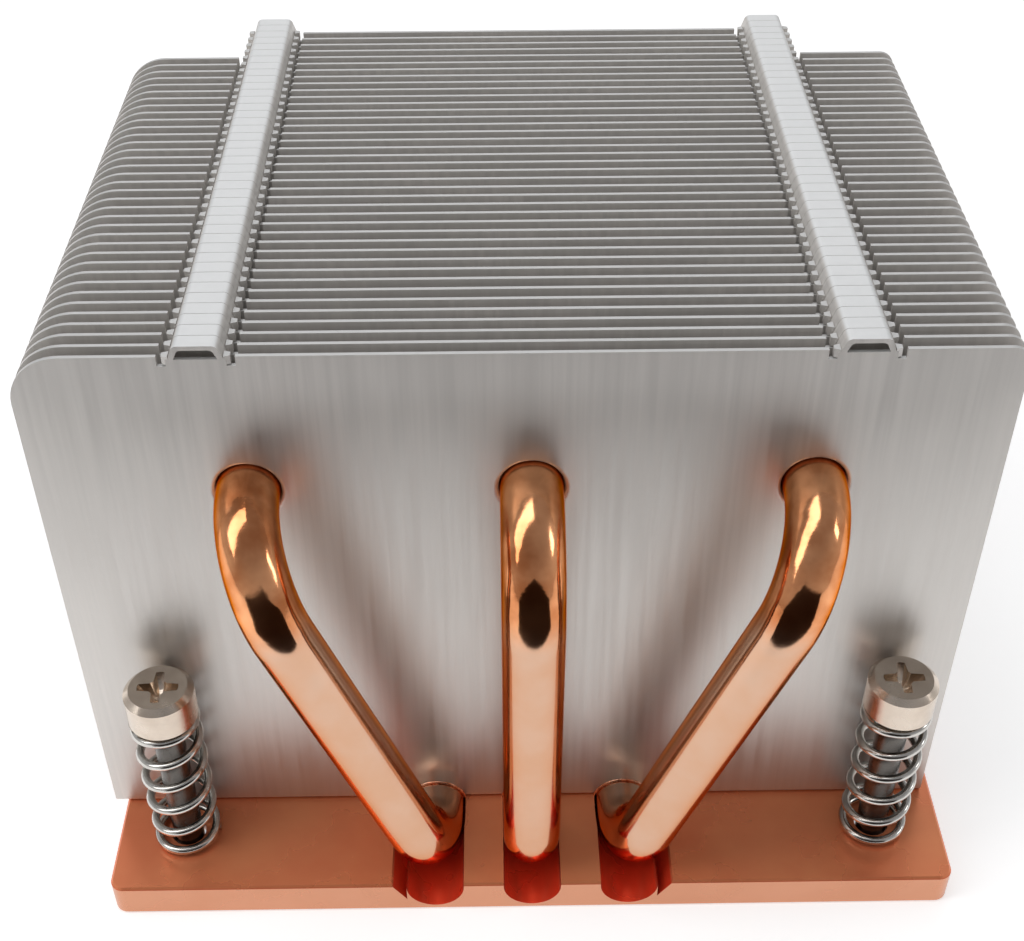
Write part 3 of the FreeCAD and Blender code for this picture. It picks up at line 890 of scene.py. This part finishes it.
    def add_thread(self, bm: bmesh.types.BMesh) -> None:
        """Winds a ridge of triangular section round the tip."""
        start_z = self.tip_z + self.thread_margin
        end_z = self.clip_z[0] - self.thread_margin
        turns = (end_z - start_z) / self.thread_pitch
        half = self.thread_pitch * self.thread_half
        root = self.thread_root - self.thread_sink
        section = [
            bm.verts.new(self.axis + Vector((root, 0.0, start_z - half))),
            bm.verts.new(self.axis + Vector((self.thread_radius, 0.0, start_z))),
            bm.verts.new(self.axis + Vector((root, 0.0, start_z + half))),
        ]
        edges = [bm.edges.new(pair) for pair in zip(section, section[1:] + section[:1])]
        steps = int(turns * self.thread_steps)
        made = bmesh.ops.spin(
            bm, geom=section + edges, cent=self.axis, axis=(0.0, 0.0, 1.0),
            dvec=(0.0, 0.0, (end_z - start_z) / steps), angle=FULL_TURN * turns, steps=steps,
            use_merge=False, use_duplicate=False,
        )
        last = [item for item in made["geom_last"] if isinstance(item, bmesh.types.BMVert)]
        bm.faces.new(section)
        bm.faces.new(last)

    def build_screw(self) -> bpy.types.Object:
        """Makes the screw in place of the frame's."""
        bm = self.turned_body()
        bmesh.ops.holes_fill(bm, edges=self.boundary_at(bm, self.tip_z), sides=0)
        self.add_recess(bm)
        self.add_thread(bm)
        name = "turned_screw_" + self.corner.value
        piece = finish_piece(name, bm, self.screw_finish, self.screw_smooth_below)
        reach = piece.data.attributes.new(LATHE_REACH, "FLOAT", "POINT")
        for index, vert in enumerate(piece.data.vertices):
            flat = Vector((vert.co.x - self.axis.x, vert.co.y - self.axis.y))
            reach.data[index].value = flat.length + vert.co.z
        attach(piece, "fastener_" + self.corner.value)
        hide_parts("screw_" + self.corner.value)
        return piece

    def build_spring(self) -> bpy.types.Object:
        """Winds a spring with closed, ground ends."""
        wire = self.wire_radius
        height = self.spring_top - self.seat_z
        sunk = wire * self.ground_share
        closed_rise = self.closed_pitch * wire * self.closed_turns
        start = self.axis + Vector((self.coil_radius, 0.0, self.seat_z + sunk))
        active_rise = height - 2 * closed_rise - 2 * sunk
        sweep = Sweep(wire, self.wire_sides, start, Vector((0.0, 1.0, 0.0)))
        for turns, rise in (
            (self.closed_turns, closed_rise),
            (self.active_turns, active_rise),
            (self.closed_turns, closed_rise),
        ):
            steps = int(turns * self.coil_steps)
            made = bmesh.ops.spin(
                sweep.bm, geom=sweep.ring + ring_edges(sweep.ring), cent=self.axis,
                axis=(0.0, 0.0, 1.0), dvec=(0.0, 0.0, rise / steps), angle=FULL_TURN * turns,
                steps=steps, use_merge=False, use_duplicate=False,
            )
            sweep.ring = [v for v in made["geom_last"] if isinstance(v, bmesh.types.BMVert)]
        sweep.close(sweep.first_ring)
        sweep.close(sweep.ring)
        for z, normal in ((self.seat_z, (0.0, 0.0, -1.0)), (self.spring_top, (0.0, 0.0, 1.0))):
            bm = sweep.bm
            bmesh.ops.bisect_plane(
                bm, geom=bm.verts[:] + bm.edges[:] + bm.faces[:], dist=CUT_DISTANCE,
                plane_co=(0.0, 0.0, z), plane_no=normal, clear_outer=True,
            )
            bmesh.ops.holes_fill(bm, edges=[e for e in bm.edges if e.is_boundary], sides=0)
        name = "coil_spring_" + self.corner.value
        piece = finish_piece(name, sweep.bm, self.spring_finish, self.spring_smooth_below)
        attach(piece, "cooler")
        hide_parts("spring_" + self.corner.value)
        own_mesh(piece)
        return piece

    def build(self) -> list[bpy.types.Object]:
        """Makes the screw and the spring, and dresses the clip."""
        dress(["clip_" + self.corner.value], self.clip_finish)
        return [self.build_screw(), self.build_spring()]


# ---------------------------------------------------------------- the studio
@dataclass
class Softbox:
    """One rectangular lamp that faces the cooler."""

    name: str
    toward: Colour
    distance: float
    width: float
    height: float
    power: float

    def build(self, target: Vector) -> bpy.types.Object:
        """Hangs the lamp.

        Args:
            target: the point that the lamp faces.

        Returns:
            The lamp.
        """
        lamp = bpy.data.lights.new(self.name, "AREA")
        lamp.shape = "RECTANGLE"
        lamp.size = self.width
        lamp.size_y = self.height
        lamp.energy = self.power
        hung = bpy.data.objects.new(self.name, lamp)
        bpy.context.scene.collection.objects.link(hung)
        direction = Vector(self.toward).normalized()
        hung.location = target + direction * self.distance
        hung.rotation_euler = direction.to_track_quat("Z", "Y").to_euler()
        return hung


@dataclass
class Studio:
    """Pale floor, even sky, soft lamps, a dark card in front of the cooler and the camera."""

    lens: float = 54.12
    camera_at: Colour = (-0.0031, -0.1425, 0.1428)
    heading: float = 0.66
    pitch: float = 39.83
    roll: float = 0.25
    clip_start: float = 0.005
    floor_reach: float = 4.0
    floor_grey: float = 0.9
    floor_glow: float = 0.50
    sky_low: tuple[float, Colour] = (0.10, (0.55, 0.55, 0.55))
    sky_high: tuple[float, Colour] = (0.75, (0.30, 0.30, 0.31))
    card_y: float = -0.102
    card_z: float = 0.018
    card_width: float = 0.17
    card_height: float = 0.130
    card_sides: int = 6
    card_tone: Colour = (0.02, 0.012, 0.01)
    card_roughness: float = 0.9
    softboxes: list[Softbox] = field(default_factory=lambda: [
        Softbox("key", (-0.50, -0.16, 0.85), 0.60, 0.22, 0.80, 1.5),
        Softbox("side", (0.87, -0.16, 0.45), 0.70, 0.10, 0.20, 0.25),
        Softbox("back", (0.0, 0.80, 0.62), 0.80, 0.80, 0.45, 0.9),
    ])

    def build_camera(self) -> None:
        """Places the camera and makes it the scene's."""
        data = bpy.data.cameras.new("camera")
        data.lens = self.lens
        camera = bpy.data.objects.new("camera", data)
        bpy.context.scene.collection.objects.link(camera)
        turn = (
            Matrix.Rotation(math.radians(-self.heading), 4, "Z")
            @ Matrix.Rotation(math.radians(90 - self.pitch), 4, "X")
            @ Matrix.Rotation(math.radians(-self.roll), 4, "Z")
        )
        camera.matrix_world = Matrix.Translation(self.camera_at) @ turn
        data.clip_start = self.clip_start
        bpy.context.scene.camera = camera

    def build_floor(self) -> None:
        """Lays the pale floor, white to the lens and to polished metal apart from shadows."""
        bm = bmesh.new()
        bmesh.ops.create_grid(bm, x_segments=1, y_segments=1, size=self.floor_reach)
        mesh = bpy.data.meshes.new("floor")
        bm.to_mesh(mesh)
        bm.free()
        floor = bpy.data.objects.new("floor", mesh)
        bpy.context.scene.collection.objects.link(floor)
        material = bpy.data.materials.new("pale_floor")
        material.use_nodes = True
        tree = material.node_tree
        tree.nodes.clear()
        output = tree.nodes.new("ShaderNodeOutputMaterial")
        matt = tree.nodes.new("ShaderNodeBsdfDiffuse")
        matt.inputs["Color"].default_value = (*(self.floor_grey,) * 3, 1.0)
        glow = tree.nodes.new("ShaderNodeEmission")
        path = tree.nodes.new("ShaderNodeLightPath")
        seen = path.outputs["Is Camera Ray"]
        for kind in ("Is Glossy Ray", "Is Transmission Ray"):
            either = tree.nodes.new("ShaderNodeMath")
            either.operation = "MAXIMUM"
            tree.links.new(seen, either.inputs[0])
            tree.links.new(path.outputs[kind], either.inputs[1])
            seen = either.outputs[0]
        strength = tree.nodes.new("ShaderNodeMath")
        strength.operation = "MULTIPLY"
        strength.inputs[1].default_value = self.floor_glow
        tree.links.new(seen, strength.inputs[0])
        tree.links.new(strength.outputs[0], glow.inputs["Strength"])
        total = tree.nodes.new("ShaderNodeAddShader")
        tree.links.new(matt.outputs[0], total.inputs[0])
        tree.links.new(glow.outputs[0], total.inputs[1])
        tree.links.new(total.outputs[0], output.inputs["Surface"])
        mesh.materials.append(material)

    def build_sky(self) -> None:
        """Sets an even sky, brighter at the horizon than overhead."""
        world = bpy.data.worlds.new("sky")
        bpy.context.scene.world = world
        world.use_nodes = True
        tree = world.node_tree
        tree.nodes.clear()
        output = tree.nodes.new("ShaderNodeOutputWorld")
        shade = tree.nodes.new("ShaderNodeBackground")
        where = tree.nodes.new("ShaderNodeTexCoord")
        parts = tree.nodes.new("ShaderNodeSeparateXYZ")
        ramp = tree.nodes.new("ShaderNodeValToRGB")
        for stop, (position, tone) in zip(ramp.color_ramp.elements, (self.sky_low, self.sky_high)):
            stop.position = position
            stop.color = (*tone, 1.0)
        tree.links.new(where.outputs["Generated"], parts.inputs["Vector"])
        tree.links.new(parts.outputs["Z"], ramp.inputs["Fac"])
        tree.links.new(ramp.outputs["Color"], shade.inputs["Color"])
        tree.links.new(shade.outputs["Background"], output.inputs["Surface"])

    def build_card(self) -> None:
        """Stands a low dark card in front of the cooler, seen only in the metal's reflections."""
        bm = bmesh.new()
        place = Matrix.Translation((0.0, self.card_y, self.card_z))
        upright = Matrix.Rotation(math.pi / 2, 4, "X")
        stretch = Matrix.Diagonal((self.card_width / 2, self.card_height / 2, 1.0, 1.0))
        bmesh.ops.create_circle(
            bm, cap_ends=True, segments=self.card_sides, radius=1.0,
            matrix=place @ upright @ stretch,
        )
        mesh = bpy.data.meshes.new("dark_card")
        bm.to_mesh(mesh)
        bm.free()
        material = bpy.data.materials.new("black_cloth")
        material.use_nodes = True
        cloth = material.node_tree.nodes["Principled BSDF"]
        cloth.inputs["Base Color"].default_value = (*self.card_tone, 1.0)
        cloth.inputs["Roughness"].default_value = self.card_roughness
        mesh.materials.append(material)
        card = bpy.data.objects.new("dark_card", mesh)
        card.visible_camera = False
        card.visible_diffuse = False
        card.visible_shadow = False
        bpy.context.scene.collection.objects.link(card)

    def build(self) -> None:
        """Builds the whole studio."""
        bpy.context.scene.view_settings.view_transform = "Standard"
        target = (CAD_LOW + CAD_HIGH) / 2
        self.build_floor()
        self.build_sky()
        self.build_card()
        for softbox in self.softboxes:
            softbox.build(target)
        self.build_camera()


SPRING_STEEL = WireFinish("spring_steel", (0.70, 0.68, 0.64), (0.55, 0.53, 0.50), (0.14, 0.24))
CLIP_STEEL = WireFinish("clip_steel", (0.42, 0.42, 0.42), (0.30, 0.30, 0.31), (0.25, 0.40))


def main() -> None:
    """Builds every piece of the cooler and its studio, and reports each one."""
    logging.basicConfig(level=logging.INFO, format="%(name)s: %(message)s")
    stack = FinStack(SheetFinish().build())
    LOG.info("dressed %d fins", len(stack.build()))
    BasePlate(PlateFinish().build()).build()
    LOG.info("dressed the base plate")
    pipes = HeatPipes(TubeFinish().build())
    bonds = BondLines(SolderFinish().build(), pipes)
    for piece in pipes.build() + bonds.build():
        LOG.info("built %s, %d faces", piece.name, len(piece.data.polygons))
    nickel = TurnedFinish().build()
    spring_steel = SPRING_STEEL.build()
    clip_steel = CLIP_STEEL.build()
    for corner in Corner:
        for piece in SprungScrew(corner, nickel, spring_steel, clip_steel).build():
            LOG.info("built %s, %d faces", piece.name, len(piece.data.polygons))
    Studio().build()


if __name__ == "__main__":
    main()
